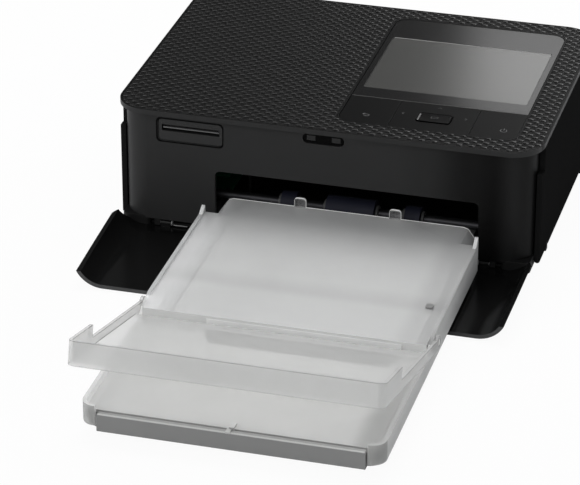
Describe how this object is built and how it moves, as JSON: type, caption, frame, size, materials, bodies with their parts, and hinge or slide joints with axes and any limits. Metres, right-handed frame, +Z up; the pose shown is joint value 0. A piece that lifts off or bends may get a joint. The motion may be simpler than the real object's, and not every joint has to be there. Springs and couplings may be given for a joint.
{
  "type": "compact photo printer",
  "caption": "Low box-shaped dye-sublimation photo printer with its front door open and a slim paper cassette with a raised catch tray.",
  "frame": {"origin": "on the table, at the centre of the whole part with the cassette in place and the front door open", "axes": "+Z up, +Y towards the rear of the printer, -Y towards the cassette, +X towards the ink door on the right as seen from the front"},
  "size_m": [0.1822, 0.308, 0.0578],
  "materials": {
    "body_shell": "fine moulded texture, near black",
    "side_panel": "smooth, near black",
    "inner_case": "plain moulded, dark grey",
    "key_panel": "glossy black",
    "screen_glass": "glossy black over a grey display",
    "display": "grey",
    "foot_rubber": "matte",
    "steel": "plain",
    "magnet": "nickel plated",
    "bronze": "sintered",
    "brass": "machined",
    "acetal": "off-white moulded",
    "roller_rubber": "dark blue, ground",
    "platen_rubber": "black, ground",
    "cassette_grey": "moulded, mid grey",
    "cassette_clear": "frosted, translucent",
    "paper": "white paper",
    "ceramic": "glazed",
    "ribbon_case": "orange moulded",
    "ribbon": "dark violet film",
    "board_green": "green solder mask",
    "white_plastic": "plain moulded"
  },
  "bodies": {
    "printer": {"bottom_case": "inner_case", "top_cover": "body_shell", "front_panel": "body_shell", "left_side_panel": "side_panel", "right_side_frame": "inner_case", "rear_panel": "body_shell", "rubber_feet": "foot_rubber", "case_screws": "steel", "card_slot_bezel": "body_shell", "card_reader": "steel", "door_catch": "side_panel", "catch_magnets": "magnet", "screen_window": "screen_glass", "lcd_module": "display", "control_board": "board_green", "switch_domes": "steel", "chassis_frame": "steel", "shaft_bushes": "bronze", "paper_guides": "inner_case", "gear_posts": "steel", "feed_motor": "steel", "head_pivot": "steel", "ink_cassette": "ribbon_case", "ribbon_film": "ribbon", "ribbon_motor": "steel", "main_board": "board_green", "rear_ports": "inner_case"},
    "front_door": {"front_door": "side_panel", "door_striker": "steel", "door_pins": "steel"},
    "ink_door": {"ink_door": "side_panel", "ink_door_pins": "steel"},
    "menu_key": {"menu_key": "key_panel"},
    "nav_key": {"nav_key": "key_panel"},
    "ok_key": {"ok_key": "key_panel"},
    "power_key": {"power_key": "key_panel"},
    "cassette": {"cassette_base": "cassette_grey", "cassette_cover": "cassette_clear", "cassette_pivots": "white_plastic", "paper_stack": "paper"},
    "catch_tray": {"catch_tray": "cassette_clear"},
    "platen": {"platen_shaft": "steel", "platen_roller": "platen_rubber", "platen_gear": "acetal"},
    "feed": {"feed_roller": "steel", "feed_gear": "acetal"},
    "pinch": {"pinch_roller": "steel"},
    "pickup": {"pickup_shaft": "steel", "pickup_rollers": "roller_rubber", "pickup_gear": "acetal"},
    "idler": {"idler_gear": "acetal"},
    "rear_idler": {"pickup_idler_rear": "acetal"},
    "front_idler": {"pickup_idler_front": "acetal"},
    "feed_pinion": {"motor_pinion": "brass"},
    "take_up": {"take_up_spool": "white_plastic", "take_up_gear": "acetal"},
    "supply": {"supply_spool": "ribbon"},
    "ribbon_pinion": {"ribbon_pinion": "brass"},
    "head": {"print_head": "ceramic", "head_carrier": "steel"}
  },
  "joints": [
    {"name": "front_door_hinge", "type": "hinge", "parent": "printer", "child": "front_door", "pos_m": [0, 0.0259, 0.0039], "axis": [-1, 0, 0], "range_deg": [0, 1.4]},
    {"name": "ink_door_hinge", "type": "hinge", "parent": "printer", "child": "ink_door", "pos_m": [0.08985, 0.08635, 0.00415], "axis": [0, 1, 0], "range_deg": [0, 90]},
    {"name": "menu_key_press", "type": "slide", "parent": "printer", "child": "menu_key", "axis": [0, 0, -1], "range_m": [0, 0.0004], "stiffness_N_per_m": 1500},
    {"name": "nav_key_press", "type": "slide", "parent": "printer", "child": "nav_key", "axis": [0, 0, -1], "range_m": [0, 0.0004], "stiffness_N_per_m": 1500},
    {"name": "ok_key_press", "type": "slide", "parent": "printer", "child": "ok_key", "axis": [0, 0, -1], "range_m": [0, 0.0004], "stiffness_N_per_m": 1500},
    {"name": "power_key_press", "type": "slide", "parent": "printer", "child": "power_key", "axis": [0, 0, -1], "range_m": [0, 0.0004], "stiffness_N_per_m": 1500},
    {"name": "cassette_slide", "type": "slide", "parent": "printer", "child": "cassette", "axis": [0, -1, 0], "range_m": [0, 0.045]},
    {"name": "catch_tray_hinge", "type": "hinge", "parent": "cassette", "child": "catch_tray", "pos_m": [0.0096, -0.0638, 0.0148], "axis": [-1, 0, 0], "range_deg": [0, 130]},
    {"name": "platen_spin", "type": "hinge", "parent": "printer", "child": "platen", "pos_m": [0.0096, 0.0862, 0.0143], "axis": [1, 0, 0], "continuous": true},
    {"name": "feed_spin", "type": "hinge", "parent": "printer", "child": "feed", "pos_m": [0.0096, 0.1322, 0.0168], "axis": [1, 0, 0], "continuous": true},
    {"name": "pinch_spin", "type": "hinge", "parent": "printer", "child": "pinch", "pos_m": [0.0096, 0.1322, 0.0246], "axis": [1, 0, 0], "continuous": true},
    {"name": "pickup_spin", "type": "hinge", "parent": "printer", "child": "pickup", "pos_m": [0.0096, 0.0362, 0.0154], "axis": [1, 0, 0], "continuous": true},
    {"name": "idler_spin", "type": "hinge", "parent": "printer", "child": "idler", "pos_m": [0.0096, 0.10905, 0.01832], "axis": [1, 0, 0], "continuous": true},
    {"name": "rear_idler_spin", "type": "hinge", "parent": "printer", "child": "rear_idler", "pos_m": [0.0096, 0.06705, 0.01564], "axis": [1, 0, 0], "continuous": true},
    {"name": "front_idler_spin", "type": "hinge", "parent": "printer", "child": "front_idler", "pos_m": [0.0096, 0.05159, 0.01978], "axis": [1, 0, 0], "continuous": true},
    {"name": "feed_pinion_spin", "type": "hinge", "parent": "printer", "child": "feed_pinion", "pos_m": [0.0096, 0.11254, 0.03475], "axis": [1, 0, 0], "continuous": true},
    {"name": "take_up_spin", "type": "hinge", "parent": "printer", "child": "take_up", "pos_m": [0.0096, 0.0682, 0.0372], "axis": [1, 0, 0], "continuous": true},
    {"name": "supply_spin", "type": "hinge", "parent": "printer", "child": "supply", "pos_m": [0.0096, 0.1142, 0.0372], "axis": [1, 0, 0], "continuous": true},
    {"name": "ribbon_pinion_spin", "type": "hinge", "parent": "printer", "child": "ribbon_pinion", "pos_m": [0.0096, 0.08254, 0.03594], "axis": [1, 0, 0], "continuous": true},
    {"name": "head_lift", "type": "hinge", "parent": "printer", "child": "head", "pos_m": [0.0096, 0.0522, 0.024], "axis": [1, 0, 0], "range_deg": [0, 1.6]}
  ],
  "couplings": [
    {"joint": "idler_spin", "follows": "platen_spin", "ratio": -0.93333},
    {"joint": "feed_spin", "follows": "platen_spin", "ratio": 1},
    {"joint": "feed_pinion_spin", "follows": "platen_spin", "ratio": 2.3333},
    {"joint": "rear_idler_spin", "follows": "platen_spin", "ratio": -1.4},
    {"joint": "front_idler_spin", "follows": "platen_spin", "ratio": 1.4},
    {"joint": "pickup_spin", "follows": "platen_spin", "ratio": -1.4},
    {"joint": "pinch_spin", "follows": "platen_spin", "ratio": -1.1429},
    {"joint": "ribbon_pinion_spin", "follows": "take_up_spin", "ratio": -2},
    {"joint": "supply_spin", "follows": "take_up_spin", "ratio": 0.63158}
  ]
}
